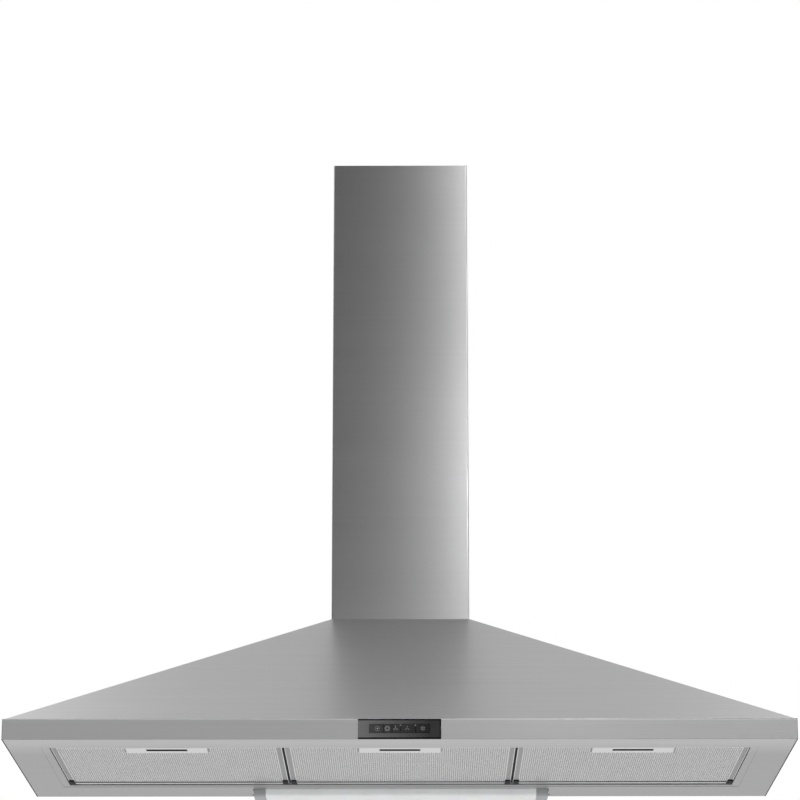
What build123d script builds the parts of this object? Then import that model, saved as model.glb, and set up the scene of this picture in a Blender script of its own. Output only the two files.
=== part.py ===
from build123d import *
import math
import os

os.makedirs("parts", exist_ok=True)

# A wall-mounted chimney range hood. Millimetres, +Z up, +X to the right as seen from the room.
# The origin is on the wall plane, at the middle of the hood, level with the underside.

# ---- Canopy and chimney ----
hood_width = 1200.0
hood_depth = 500.0
fascia_height = 32.0
canopy_rise = 210.0
ledge = 3.5
chimney_width = 220.0
chimney_depth = 250.0
chimney_height = 770.0
canopy_sheet = 1.0
chimney_sheet = 0.8
back_sheet = 1.2
bend_radius = 1.2
seam_gap = 0.35
ring_width = 12.0

# ---- Underside and filters ----
opening_side_margin = 64.5
opening_front_margin = 73.0
opening_rear_margin = 101.0
rim_width = 12.0
rim_step = 0.6
flange_height = 7.0
filter_count = 3
divider_width = 1.8
divider_recess = 3.0
filter_gap = 0.9
filter_thickness = 10.0
filter_recess = 2.0
filter_wall = 1.0
filter_border = 10.0
frame_bend = 0.6
mesh_tuck = 8.5
pivot_height = 9.0
pivot_radius = 1.5
pivot_setback = 9.0
moving_gap = 0.3
hook_width = 20.0
hook_inset = 16.0
mesh_thickness = 2.5
mesh_relief = 1.7
mesh_columns = 16
mesh_rows = 12
mesh_web = 4.0
shoe_width = 9.0
shoe_length = 28.0
shoe_height = 1.4
shoe_peg_radius = 1.6
handle_width = 125.0
handle_depth = 38.8
handle_sheet = 1.0
slot_width = 62.0
slot_depth = 12.0
slot_from_front = 19.8
case_width = 68.0
case_depth = 35.8
latch_thickness = 2.0
latch_height = 5.6
latch_width = 60.0
latch_tail = 2.0
latch_travel = 4.5
tongue_width = 24.0
tongue_gap = 0.3
tab_thickness = 1.5
tab_clearance = 0.4
spring_radius = 1.7
spring_wire = 0.4
spring_turns = 5

# ---- Control panel ----
panel_width = 125.4
panel_proud = 1.4
panel_margin = 0.2
button_height = 14.0
button_travel = 1.5
button_gap = 0.35
button_widths = [21.7, 12.9, 13.1, 22.1, 22.0]
button_names = ["button_light", "button_off", "button_speed_1", "button_speed_2", "button_speed_3"]
button_proud = 0.6
button_lip = 1.2
button_stem = 4.0
spigot_lip = 3.0
housing_width = 116.0
housing_height = 26.0
housing_depth = 26.0
housing_wall = 1.5
board_thickness = 1.6
board_place = 12.0
switch_size = 6.0
switch_base = 2.5
switch_height = 3.5
switch_play = 0.1
plunger_radius = 1.6
indicator_radius = 1.2
indicator_rise = 5.0

# ---- Light ----
light_length = 478.0
light_end = 19.0
light_front = 70.0
light_back = 15.0
light_drop = 12.0
light_wall = 1.5
light_corner = 5.0
light_lip = 3.0
light_swing_gap = 2.5
light_housing_height = 38.0
light_housing_margin = 8.0
cover_pivot_height = 0.5
cover_pin_radius = 1.5
cover_pin_length = 3.5
cover_pin_play = 0.05
cover_ear_wall = 1.3
cover_ear_width = 2.0
lamp_radius = 8.0
lamp_height = 16.0
lamp_pin_room = 12.0
holder_thickness = 10.0
ballast_length = 160.0
ballast_width = 36.0
ballast_height = 24.0
ballast_gap = 21.5
ballast_y = -48.0

# ---- Blower ----
fan_drop = 110.0
impeller_radius = 75.0
blade_depth = 13.0
impeller_half = 55.0
blade_count = 40
blade_thickness = 1.0
hub_radius = 12.0
shaft_radius = 4.0
shaft_play = 0.05
motor_radius = 42.0
motor_inner_end = 6.0
motor_outer_end = 66.0
bearing_radius = 11.0
bearing_width = 7.0
scroll_start = 82.0
scroll_end = 108.0
scroll_wall = 2.0
scroll_half = 62.0
inlet_radius = 62.0
guard_depth = 18.0
guard_overlap = 16.0
guard_wire = 2.0
guard_rings = 6
guard_ribs = 3
scroll_first_angle = 105.0
disc_thickness = 2.0
blade_angle = 35.0
bush_radius = 5.0
arm_count = 3
arm_thickness = 2.0
arm_width = 14.0
bracket_disc_radius = 33.0
deck_thickness = 1.5
duct_radius = 74.5
collar_wall = 2.0
collar_height = 62.0
collar_flange = 10.0
collar_seat = 3.0
pin_radius = 2.0
pin_play = 0.05
pin_height = 22.0
flap_radius = 71.0
flap_thickness = 1.2
knuckle_radius = 3.4
knuckle_length = 24.0
knuckle_spacing = 28.0
knuckle_room = 0.8

# ---- Fixings and wiring ----
hang_hole_radius = 4.0
hang_hole_spacing = 230.0
hang_hole_height = 190.0
lower_hole_radius = 3.0
lower_hole_spacing = 560.0
lower_hole_height = 60.0
bracket_hole_radius = 3.0
bracket_hole_spacing = 140.0
bracket_height = 40.0
bracket_sheet = 1.5
bracket_reach = 55.0
bracket_arm_inset = 20.0
bracket_drop = 5.0
tongue_length = 20.0
tongue_drop = 29.0
slot_height = 18.0
chimney_play = 0.5
chimney_lift_from_canopy = 8.0
chimney_top_gap = 2.0
rear_flange = 15.0
foot_width = 10.0
foot_screw_inset = 6.5
foot_margin = 50.0
foot_screw_margin = 65.0
deck_screw_inset = 20.0
deck_margin = 2.5
divider_tab = 8.0
screw_radius = 2.0
screw_head_radius = 3.6
screw_head_height = 2.2
screw_length = 5.0
gland_radius = 8.0
gland_nut_radius = 11.0
gland_nut_height = 6.0
gland_bore = 4.2
gland_inset = 24.0
lead_radius = 2.5
terminal_x = 150.0
terminal_z = 110.0
terminal_width = 80.0
terminal_height = 65.0
terminal_depth = 42.0
terminal_wall = 2.0
capacitor_x = -150.0
capacitor_z = 90.0
capacitor_radius = 17.0
capacitor_length = 70.0

# ---- Derived places ----
half_width = hood_width / 2
canopy_top = fascia_height + canopy_rise
chimney_top = canopy_top + chimney_height
side_run = half_width - ledge - chimney_width / 2
front_run = hood_depth - ledge - chimney_depth
side_angle = math.atan2(canopy_rise, side_run)
front_angle = math.atan2(canopy_rise, front_run)
inside_front = -hood_depth + canopy_sheet
opening_half = half_width - opening_side_margin
opening_front = -(hood_depth - opening_front_margin)
opening_rear = -opening_rear_margin
pivot_y = opening_rear + canopy_sheet / 2
filter_pitch = (2 * opening_half + divider_width) / filter_count
filter_width = filter_pitch - divider_width - 2 * filter_gap
filter_front = opening_front + filter_gap
filter_rear = pivot_y - pivot_setback
filter_top = filter_recess + filter_thickness
filter_names = ["left", "centre", "right"]
handle_front = filter_front + filter_border
slot_front = filter_front + slot_from_front
slot_rear = slot_front + slot_depth
case_rear = handle_front + case_depth
latch_low = filter_recess + latch_height
latch_top = latch_low + latch_thickness
latch_rear = slot_rear + latch_tail
panel_front = -hood_depth - panel_proud
panel_top = fascia_height - panel_margin - bend_radius
strip_width = sum(button_widths)
strip_middle = fascia_height / 2
strip_low = strip_middle - button_height / 2
strip_high = strip_middle + button_height / 2
housing_low = strip_middle - housing_height / 2
housing_high = strip_middle + housing_height / 2
board_front = inside_front + board_place
indicator_z = strip_middle + indicator_rise
deck_top = canopy_top - canopy_sheet
deck_low = deck_top - deck_thickness
fan_y = -chimney_depth / 2 - 10
fan_z = canopy_top - fan_drop
pin_z = canopy_top + pin_height
inner_half = chimney_width / 2 - chimney_sheet - chimney_play
inner_front = -(chimney_depth - chimney_sheet - chimney_play)
inner_back = -(chimney_sheet + chimney_play)
inner_top = chimney_top - chimney_top_gap
bracket_top = inner_top - bracket_drop
bracket_low = bracket_top - bracket_height
collar_reach = duct_radius + collar_flange
collar_y = -(ring_width + moving_gap + collar_reach)
first_angle = math.radians(scroll_first_angle)
outlet_rear = fan_y + scroll_end - scroll_wall
outlet_front = fan_y + scroll_start * math.cos(first_angle) + scroll_wall
inlet_reach = inlet_radius + bush_radius + 1.0
motor_left = -motor_outer_end
motor_right = -motor_inner_end
lamp_y = -(light_front + light_back) / 2
lamp_half = light_length / 2 - light_end - lamp_pin_room
cover_half = light_length / 2
cover_pivot_y = -light_back
tray_half = cover_half + light_wall + light_housing_margin
tray_front = -light_front - light_wall - light_housing_margin
tray_top = canopy_sheet + light_housing_height
ballast_x = -(tray_half + ballast_gap + ballast_length / 2)
gland_x = -chimney_width / 2 + gland_inset
gland_y = collar_y - collar_reach - gland_inset
foot_screw_x = chimney_width / 2 - foot_screw_inset
foot_screws_y = [-chimney_depth + foot_screw_margin, -foot_screw_margin]
deck_screw_x = chimney_width / 2 - deck_screw_inset
deck_screws_y = [-chimney_depth + ring_width / 2, -ring_width / 2]


def block(x0, x1, y0, y1, z0, z1):
    """A box between two corners."""
    size = Box(abs(x1 - x0), abs(y1 - y0), abs(z1 - z0))
    return Pos((x0 + x1) / 2, (y0 + y1) / 2, (z0 + z1) / 2) * size


def upright(radius, x, y, z0, z1):
    """A round bar standing along Z."""
    return Pos(x, y, (z0 + z1) / 2) * Cylinder(radius, abs(z1 - z0))


def crosswise(radius, x0, x1, y, z):
    """A round bar lying along X."""
    return Pos((x0 + x1) / 2, y, z) * Rot(0, 90, 0) * Cylinder(radius, abs(x1 - x0))


def inward(radius, x, y0, y1, z):
    """A round bar lying along Y."""
    return Pos(x, (y0 + y1) / 2, z) * Rot(90, 0, 0) * Cylinder(radius, abs(y1 - y0))


def near(edge, axis, value):
    """Whether an edge's middle lies at this value along an axis."""
    return abs(getattr(edge.center(), axis) - value) < 0.01


def write(name, *pieces):
    """One file for one node, holding its solids."""
    solids = [s for piece in pieces for s in piece.solids()]
    shape = solids[0] if len(solids) == 1 else Compound(solids)
    export_step(shape, f"parts/{name}.step")


# ---- Canopy and panels ----

def canopy_section(z, inset):
    """Half width and front of the slopes at height z, with their faces moved inwards by inset."""
    fall = z - fascia_height
    half = half_width - ledge - fall * side_run / canopy_rise - inset / math.sin(side_angle)
    front = -(hood_depth - ledge) + fall * front_run / canopy_rise + inset / math.sin(front_angle)
    return half, front


def slope_face(z, inset):
    """The slopes' level section at height z, reaching back to the wall."""
    half, front = canopy_section(z, inset)
    return Pos(0, front / 2, z) * Rectangle(2 * half, -front)


def canopy_hollow():
    """The space inside the canopy's sheet, up to the ring that carries the chimney."""
    half = half_width - canopy_sheet
    low = fascia_height - canopy_sheet
    room = block(-half, half, inside_front, 0, 0, low)
    return room + loft([slope_face(low, canopy_sheet), slope_face(deck_top, canopy_sheet)], ruled=True)


def screw_holes(x, places_y, z0, z1):
    """Holes for a screw at each place, on both sides of the middle."""
    return [upright(screw_radius, side * x, y, z0, z1) for side in (-1, 1) for y in places_y]


def canopy_shell():
    """Fascia band, small ledge, three slopes, the ring at the top and the hem below, one folded sheet."""
    band = block(-half_width, half_width, -hood_depth, 0, 0, fascia_height)
    band = fillet([e for e in band.edges().filter_by(Axis.Z) if near(e, "Y", -hood_depth)], bend_radius)
    rim = [e for e in band.edges() if near(e, "Z", fascia_height) and not near(e, "Y", 0)]
    band = fillet(rim, bend_radius)
    slopes = loft([slope_face(fascia_height, 0), slope_face(canopy_top, 0)], ruled=True)
    shell = band + slopes - canopy_hollow()
    outer = half_width - canopy_sheet
    hem = block(-outer, outer, inside_front, -back_sheet, canopy_sheet, 2 * canopy_sheet)
    inner = outer - ring_width
    hem -= block(-inner, inner, inside_front + ring_width, 0, 0, fascia_height)
    shell += hem
    mouth = chimney_width / 2 - ring_width
    shell -= block(-mouth, mouth, -chimney_depth + ring_width, -ring_width, deck_low, canopy_top + 1)
    window = housing_width / 2
    shell -= block(-window, window, -hood_depth - 1, inside_front, housing_low, housing_high)
    shell -= block(-window, window, inside_front, inside_front + ring_width, 0, housing_high)
    holes = screw_holes(foot_screw_x, foot_screws_y, deck_low, canopy_top + 1)
    return shell - (holes + screw_holes(deck_screw_x, deck_screws_y, deck_low, canopy_top + 1))


def back_panel():
    """Rear sheet, shaped to the canopy's inside, with the holes that it hangs by."""
    panel = canopy_hollow() & block(-half_width, half_width, -back_sheet, 0, 0, deck_low)
    for side in (-1, 1):
        panel -= inward(hang_hole_radius, side * hang_hole_spacing / 2, -5, 5, hang_hole_height)
        panel -= inward(lower_hole_radius, side * lower_hole_spacing / 2, -5, 5, lower_hole_height)
    return panel


def bottom_panel():
    """Underside sheet: pressed rim, upturned edges of the filter opening, and the rod the filters hang on."""
    t = canopy_sheet
    half = half_width - t - seam_gap
    sheet = block(-half, half, inside_front + seam_gap, -back_sheet, 0, t)
    lower = [e for e in sheet.edges() if near(e, "Z", 0) and not near(e, "Y", -back_sheet)]
    sheet = fillet(lower, t * 0.9)
    x, front, rear = opening_half + rim_width, opening_front - rim_width, opening_rear + rim_width
    sheet -= block(-x, x, front, rear, 0, rim_step)
    sheet += block(-x, x, front, rear, rim_step, rim_step + t)
    x = opening_half
    sheet += block(-x - t, x + t, opening_front - t, opening_rear + t, rim_step, flange_height)
    sheet -= block(-x, x, opening_front, opening_rear, -1, flange_height + 1)
    sheet += block(-x, x, opening_rear, opening_rear + t, rim_step, pivot_height)
    sheet += crosswise(pivot_radius, -x, x, pivot_y, pivot_height)
    x = cover_half + light_wall
    sheet -= block(-x, x, -light_front - light_wall, -light_back + light_swing_gap, -1, 2 * t)
    x = cover_half + cover_pin_length + light_wall
    reach = cover_pin_radius + cover_ear_wall + light_wall
    return sheet - block(-x, x, cover_pivot_y - reach, cover_pivot_y + reach, -1, 2 * t)


def filter_dividers():
    """The bars that part the filter openings, each with a tab on the front flange."""
    bars = []
    half = divider_width / 2
    for i in range(1, filter_count):
        x = -opening_half - half + i * filter_pitch
        low = filter_recess + divider_recess
        bar = block(x - half, x + half, opening_front, opening_rear, low, flange_height)
        top = flange_height + canopy_sheet
        tab_front = opening_front - divider_tab
        bars.append(bar + block(x - half, x + half, tab_front, opening_front + 1, flange_height, top))
    return bars


# ---- Chimney ----

def channel(half, front, back, z0, z1):
    """An upright U of sheet, open to the wall, with flanges turned in along its back edges."""
    t = chimney_sheet
    body = block(-half, half, front, back, z0, z1)
    body = fillet([e for e in body.edges().filter_by(Axis.Z) if near(e, "Y", front)], bend_radius + t)
    inner = block(-half + t, half - t, front + t, back - t, z0, z1)
    body -= fillet([e for e in inner.edges().filter_by(Axis.Z) if near(e, "Y", front + t)], bend_radius)
    return body - block(-half + rear_flange, half - rear_flange, back - 2 * t, back + 1, z0, z1)


def lower_chimney():
    """The outer cover, with two feet turned in where it stands on the canopy."""
    half = chimney_width / 2
    cover = channel(half, -chimney_depth, 0, canopy_top, chimney_top)
    for side in (-1, 1):
        wall = side * (half - chimney_sheet)
        cover += block(
            wall, wall - side * foot_width, -chimney_depth + foot_margin, -foot_margin,
            canopy_top, canopy_top + chimney_sheet,
        )
    return cover - screw_holes(foot_screw_x, foot_screws_y, canopy_top - 1, canopy_top + 2)


def upper_chimney():
    """The inner cover, drawn fully down inside the outer one, slotted for the bracket's tongues."""
    cover = channel(inner_half, inner_front, inner_back, canopy_top + chimney_lift_from_canopy, inner_top)
    slot_middle = bracket_top - tongue_drop + bracket_sheet / 2
    y = -bracket_reach + bracket_sheet
    for side in (-1, 1):
        cover -= block(
            side * (inner_half - 2 * chimney_sheet), side * (inner_half + 1), y - moving_gap,
            y + tongue_length + moving_gap, slot_middle - slot_height / 2, slot_middle + slot_height / 2,
        )
    return cover


def chimney_bracket():
    """Wall bracket: plate, arms that clear the covers' flanges, and tongues in the inner cover's slots."""
    t = bracket_sheet
    middle = chimney_width / 2 - bracket_arm_inset
    plate = block(-middle, middle, -t, 0, bracket_low, bracket_top)
    for side in (-1, 1):
        x = side * middle
        inner = side * (inner_half - chimney_sheet)
        z = bracket_top - tongue_drop
        plate += block(x, x - side * t, -bracket_reach, 0, bracket_low, bracket_top)
        plate += block(x, inner, -bracket_reach, -bracket_reach + t, bracket_low, bracket_top)
        plate += block(x, side * inner_half, -bracket_reach + t, -bracket_reach + t + tongue_length, z, z + t)
        hole_z = (bracket_low + bracket_top) / 2
        plate -= inward(bracket_hole_radius, side * bracket_hole_spacing / 2, -5, 5, hole_z)
    return plate


def screw(x, y, z, way):
    """A pan head screw seated at z, its shank pointing up (1) or down (-1)."""
    head = upright(screw_head_radius, x, y, z, z - way * screw_head_height)
    return head + upright(screw_radius, x, y, z, z + way * screw_length)


def screws():
    """Screws through the chimney's feet from above, and through the deck from below."""
    top = canopy_top + chimney_sheet
    feet = [screw(side * foot_screw_x, y, top, -1) for side in (-1, 1) for y in foot_screws_y]
    deck = [screw(side * deck_screw_x, y, deck_low, 1) for side in (-1, 1) for y in deck_screws_y]
    return feet + deck


# ---- Filters ----

def filter_middle(index):
    """A filter's middle along X."""
    return -opening_half - divider_width / 2 + (index + 0.5) * filter_pitch


def tongue_slot(x, y0, y1):
    """The slot through which a latch's tongue slides."""
    half = tongue_width / 2 + tongue_gap
    return block(x - half, x + half, y0, y1, latch_low - tongue_gap, latch_top + tongue_gap)


def shoe_places(index):
    """The middles of the two shoes at a frame's rear corners."""
    reach = filter_width / 2 - frame_bend - shoe_width / 2
    y = filter_rear - frame_bend - shoe_length / 2
    return [(filter_middle(index) + side * reach, y) for side in (-1, 1)]


def filter_shoes(index):
    """Moulded shoes under the frame's rear corners, each held by a peg through the frame."""
    shoes = []
    for x, y in shoe_places(index):
        half, length = shoe_width / 2, shoe_length / 2
        low = filter_recess - shoe_height
        shoe = block(x - half, x + half, y - length, y + length, low, filter_recess)
        shoe = fillet([e for e in shoe.edges() if near(e, "Z", low)], frame_bend)
        shoes.append(shoe + upright(shoe_peg_radius, x, y, low + frame_bend, filter_recess + filter_wall))
    return shoes


def filter_frame(index):
    """Channel frame round the mesh, with two rear hooks that hang over the pivot rod."""
    x = filter_middle(index)
    half = filter_width / 2
    w, b = filter_wall, filter_border
    frame = block(x - half, x + half, filter_front, filter_rear, filter_recess, filter_top)
    frame -= block(
        x - half + w, x + half - w, filter_front + w, filter_rear - w, filter_recess + w, filter_top - w
    )
    frame -= block(
        x - half + b, x + half - b, filter_front + b, filter_rear - b, filter_recess - 1, filter_top + 1
    )
    frame = fillet([e for e in frame.edges() if near(e, "Z", filter_recess)], frame_bend)
    frame -= tongue_slot(x, filter_front - 1, filter_front + 2 * w)
    for px, py in shoe_places(index):
        frame -= upright(shoe_peg_radius, px, py, filter_recess - 1, filter_recess + w)
    inner = pivot_radius + moving_gap
    outer = inner + w
    for side in (-1, 1):
        middle = x + side * (half - hook_inset - hook_width / 2)
        x0, x1 = middle - hook_width / 2, middle + hook_width / 2
        curl = crosswise(outer, x0, x1, pivot_y, pivot_height)
        curl -= crosswise(inner, x0, x1, pivot_y, pivot_height)
        curl &= block(x0, x1, pivot_y, pivot_y + outer, pivot_height, pivot_height + outer)
        frame += curl + block(x0, x1, filter_rear, pivot_y, pivot_height + inner, pivot_height + outer)
    return frame


def filter_mesh(index):
    """Pad with staggered diamonds in its lower face, tucked into the frame and cut out round the latch."""
    x = filter_middle(index)
    half = filter_width / 2 - filter_border
    field_front = handle_front + handle_depth
    field_rear = filter_rear - filter_border
    z = filter_recess + filter_wall
    pitch_x = 2 * half / mesh_columns
    pitch_y = (field_rear - field_front) / mesh_rows
    gap_x, gap_y = (pitch_x - mesh_web) / 2, (pitch_y - mesh_web) / 2
    outer = half + mesh_tuck
    notch = handle_width / 2
    front = handle_front - mesh_tuck
    outline = Wire(Polyline(
        (x - outer, front), (x - notch, front), (x - notch, field_front), (x + notch, field_front),
        (x + notch, front), (x + outer, front), (x + outer, field_rear + mesh_tuck),
        (x - outer, field_rear + mesh_tuck), close=True,
    ).edges())
    holes = []
    for row in range(2 * mesh_rows - 1):
        shift = row % 2
        for column in range(mesh_columns - shift):
            hx = x - half + (column + (1 + shift) / 2) * pitch_x
            hy = field_front + (row + 1) * pitch_y / 2
            holes.append(
                Wire.make_polygon([(hx - gap_x, hy), (hx, hy - gap_y), (hx + gap_x, hy), (hx, hy + gap_y)])
            )
    face = Pos(0, 0, z) * extrude(Face(outline, holes), amount=mesh_relief, dir=(0, 0, 1))
    back = extrude(Face(outline), amount=mesh_thickness - mesh_relief, dir=(0, 0, 1))
    return face + Pos(0, 0, z + mesh_relief) * back


def filter_handle(index):
    """Smooth plate with the finger slot, and the case above it in which the latch slides."""
    x = filter_middle(index)
    half = handle_width / 2
    z0, z1 = filter_recess, filter_recess + handle_sheet
    plate = block(x - half, x + half, handle_front, handle_front + handle_depth, z0, z1)
    half = case_width / 2
    w = filter_wall
    case = block(x - half, x + half, handle_front, case_rear, z1, filter_top)
    case -= block(x - half + w, x + half - w, handle_front + w, case_rear - w, z1, filter_top - w)
    case -= tongue_slot(x, handle_front - 1, handle_front + 2 * w)
    half = slot_width / 2
    return plate + case - block(x - half, x + half, slot_front, slot_rear, z0 - 1, z1)


def filter_latch(index):
    """Slider with a front tongue, and a tab behind the slot for the finger; drawn pulled back."""
    x = filter_middle(index)
    half = latch_width / 2
    front = handle_front + filter_wall + latch_travel + moving_gap
    slider = block(x - half, x + half, front, latch_rear, latch_low, latch_top)
    half = tongue_width / 2
    slider += block(x - half, x + half, filter_front + moving_gap, front, latch_low, latch_top)
    tab_rear = slot_rear - tab_clearance
    half = slot_width / 2 - tab_thickness
    tab_low = filter_recess + handle_sheet + moving_gap
    return slider + block(x - half, x + half, tab_rear - tab_thickness, tab_rear, tab_low, latch_top)


def latch_spring(index):
    """Compression spring between the slider and its case."""
    y0 = latch_rear + moving_gap + spring_wire
    length = case_rear - filter_wall - moving_gap - spring_wire - y0
    coil = Helix(pitch=length / spring_turns, height=length, radius=spring_radius)
    wire = sweep(Plane(coil @ 0, z_dir=coil % 0) * Circle(spring_wire), path=coil, is_frenet=True)
    return Pos(filter_middle(index), y0, (latch_low + latch_top) / 2) * Rot(-90, 0, 0) * wire


# ---- Controls ----

def button_places():
    """Left edge and width of each button in the strip."""
    edge = -strip_width / 2
    places = []
    for width in button_widths:
        places.append((edge, width))
        edge += width
    return places


def indicator_places():
    """The dots stand on the joints before the last two buttons."""
    return [edge for edge, width in button_places()[-2:]]


def control_panel():
    """Glossy bezel over the whole height of the fascia, with the window for the buttons."""
    half = panel_width / 2
    bezel = block(-half, half, panel_front, -hood_depth, panel_margin, panel_top)
    bezel = fillet([e for e in bezel.edges() if near(e, "Y", panel_front)], panel_proud / 3)
    half = housing_width / 2 - panel_margin
    bezel += block(
        -half, half, -hood_depth, inside_front, strip_low - spigot_lip, strip_high + spigot_lip
    )
    half = strip_width / 2
    return bezel - block(-half, half, panel_front - 1, inside_front + 1, strip_low, strip_high)


def indicator_lights():
    """Light guides that stand on the board and reach the bezel's front."""
    return [
        inward(indicator_radius, x, panel_front, board_front, indicator_z) for x in indicator_places()
    ]


def button(index):
    """A key cap with its retaining lip, and the stem that pushes the switch behind it."""
    edge, width = button_places()[index]
    g = button_gap
    x0, x1 = edge + g, edge + width - g
    middle = edge + width / 2
    face = panel_front - button_proud
    lip_front = inside_front + moving_gap
    cap = block(x0, x1, face, lip_front, strip_low + g, strip_high - g)
    cap = fillet([e for e in cap.edges() if near(e, "Y", face)], button_proud / 2)
    lip_rear = lip_front + button_lip
    cap += block(x0, x1, lip_front, lip_rear, strip_low - button_lip, strip_high + button_lip)
    end = board_front - switch_height - button_travel - switch_play
    half = button_stem / 2
    cap += block(middle - half, middle + half, lip_rear, end, strip_middle - half, strip_middle + half)
    for x in indicator_places():
        cap -= inward(indicator_radius + moving_gap, x, face - 1, board_front, indicator_z)
    return cap


def tactile_switches():
    """One small switch on the board behind each button."""
    switches = []
    half = switch_size / 2
    for edge, width in button_places():
        x = edge + width / 2
        top = board_front - switch_base
        base = block(x - half, x + half, top, board_front, strip_middle - half, strip_middle + half)
        switches.append(base + inward(plunger_radius, x, board_front - switch_height, top, strip_middle))
    return switches


def control_board():
    """The circuit board that carries the switches."""
    half = housing_width / 2 - housing_wall
    return block(
        -half, half, board_front, board_front + board_thickness,
        housing_low + housing_wall, housing_high - housing_wall,
    )


def control_housing():
    """Moulded box behind the fascia, open to the front."""
    half = housing_width / 2
    rear = inside_front + housing_depth
    w = housing_wall
    box = block(-half, half, inside_front, rear, housing_low, housing_high)
    return box - block(-half + w, half - w, inside_front, rear - w, housing_low + w, housing_high - w)


# ---- Light ----

def light_housing():
    """Tray over the lamp, fixed on the underside panel, with an ear at each end for the cover's pins."""
    t = canopy_sheet
    tray = block(-tray_half, tray_half, tray_front, -back_sheet, t, tray_top)
    tray -= block(-tray_half + t, tray_half - t, tray_front + t, -back_sheet - t, 0, tray_top - t)
    radius = cover_pin_radius + cover_ear_wall
    y, z = cover_pivot_y, cover_pivot_height
    for side in (-1, 1):
        x0 = side * (cover_half + moving_gap)
        x1 = x0 + side * cover_ear_width
        ear = crosswise(radius, x0, x1, y, z)
        ear += block(x0, x1, y - radius, y + radius, z, z + radius)
        ear += block(x0, side * (tray_half - t), y - radius, y + radius, z + radius - t, z + radius)
        tray += ear - crosswise(cover_pin_radius + cover_pin_play, x0 - side, x1 + side, y, z)
    return tray


def light_trough(inset, half):
    """A bar with the cover's section, moved in by inset, with rounded lower edges."""
    low = -light_drop + inset
    bar = block(-half, half, -light_front + inset, -light_back - inset, low, light_lip)
    edges = [e for e in bar.edges().filter_by(Axis.X) if near(e, "Z", low)]
    return fillet(edges, light_corner - inset)


def light_cover():
    """Translucent trough between the end caps, open upwards."""
    half = cover_half - light_end
    hollow = light_trough(light_wall, half)
    return light_trough(0, half) - hollow


def light_end_caps():
    """Grey moulded ends of the cover, with the pins that it swings on."""
    caps = []
    for side in (-1, 1):
        cap = light_trough(0, cover_half) & block(
            side * (cover_half - light_end), side * cover_half, -light_front, 0, -light_drop, light_lip
        )
        start, end = side * (cover_half - 1), side * (cover_half + cover_pin_length)
        caps.append(cap + crosswise(cover_pin_radius, start, end, cover_pivot_y, cover_pivot_height))
    return caps


def lamp_tube():
    """Straight tube lamp."""
    return crosswise(lamp_radius, -lamp_half, lamp_half, lamp_y, lamp_height)


def lamp_holders():
    """Socket at each end of the lamp, fixed under the tray's top."""
    reach = lamp_radius + 1
    return [
        block(
            side * lamp_half, side * (lamp_half + holder_thickness), lamp_y - reach, lamp_y + reach,
            lamp_height - reach, tray_top - canopy_sheet,
        )
        for side in (-1, 1)
    ]


def light_ballast():
    """Control gear of the lamp, beside its tray."""
    x, y = ballast_length / 2, ballast_width / 2
    top = canopy_sheet + ballast_height
    return block(ballast_x - x, ballast_x + x, ballast_y - y, ballast_y + y, canopy_sheet, top)


# ---- Blower ----

def fan_bar(radius, x0, x1):
    """A round bar on the fan's axis."""
    return crosswise(radius, x0, x1, fan_y, fan_z)


def scroll_face(inset):
    """The scroll's outline: a spiral from the tongue round to the outlet's rear wall, moved in by inset."""
    steps = 12
    points = []
    for i in range(steps + 1):
        angle = first_angle + (2 * math.pi - first_angle) * i / steps
        radius = scroll_start + (scroll_end - scroll_start) * i / steps - inset
        points.append((fan_y + radius * math.cos(angle), fan_z + radius * math.sin(angle)))
    start, end = points[0], points[-1]
    closing = Polyline(end, (end[0], deck_low), (start[0], deck_low), start)
    return Plane.YZ * make_face(Spline(*points).edges() + closing.edges())


def scroll(side):
    """One moulded half of the scroll, with its inlet."""
    shell = extrude(scroll_face(0), amount=scroll_half, both=True)
    shell -= extrude(scroll_face(scroll_wall), amount=scroll_half - scroll_wall, both=True)
    shell -= fan_bar(inlet_radius, -scroll_half - 1, scroll_half + 1)
    return shell & block(0, side * (scroll_half + 1), -chimney_depth, 0, 0, canopy_top)


def inlet_guard(side):
    """Finger guard of concentric rings and ribs, standing off the inlet on a rim."""
    wall = side * scroll_half
    far = side * (scroll_half + guard_depth)
    face = far - side * guard_wire
    rim_radius = inlet_radius + guard_overlap
    guard = fan_bar(rim_radius, wall, far) - fan_bar(rim_radius - guard_wire, wall, far)
    for i in range(1, guard_rings):
        radius = rim_radius * i / guard_rings
        guard += fan_bar(radius, face, far) - fan_bar(radius - guard_wire, face, far)
    for i in range(guard_ribs):
        rib = Box(guard_wire, 2 * rim_radius - guard_wire, guard_wire)
        guard += Pos((face + far) / 2, fan_y, fan_z) * Rot(180 * i / guard_ribs, 0, 0) * rib
    return guard


def motor():
    """Motor body inside the wheel, with a pocket for a bearing at each end."""
    body = fan_bar(motor_radius, motor_left, motor_right)
    body = fillet(body.edges().filter_by(GeomType.CIRCLE), 3)
    body -= fan_bar(shaft_radius + 1, motor_left - 1, 0)
    body -= fan_bar(bearing_radius, motor_left - 1, motor_left + bearing_width)
    return body - fan_bar(bearing_radius, motor_right - bearing_width, 0)


def motor_bearings():
    """A bearing at each end of the motor."""
    rings = []
    for x0 in (motor_left, motor_right - bearing_width):
        ring = fan_bar(bearing_radius, x0, x0 + bearing_width)
        rings.append(ring - fan_bar(shaft_radius + shaft_play, x0 - 1, x0 + bearing_width + 1))
    return rings


def motor_shaft():
    """The shaft, from the outer bearing into the wheel's hub."""
    return fan_bar(shaft_radius, motor_left - 1, hub_radius)


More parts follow.
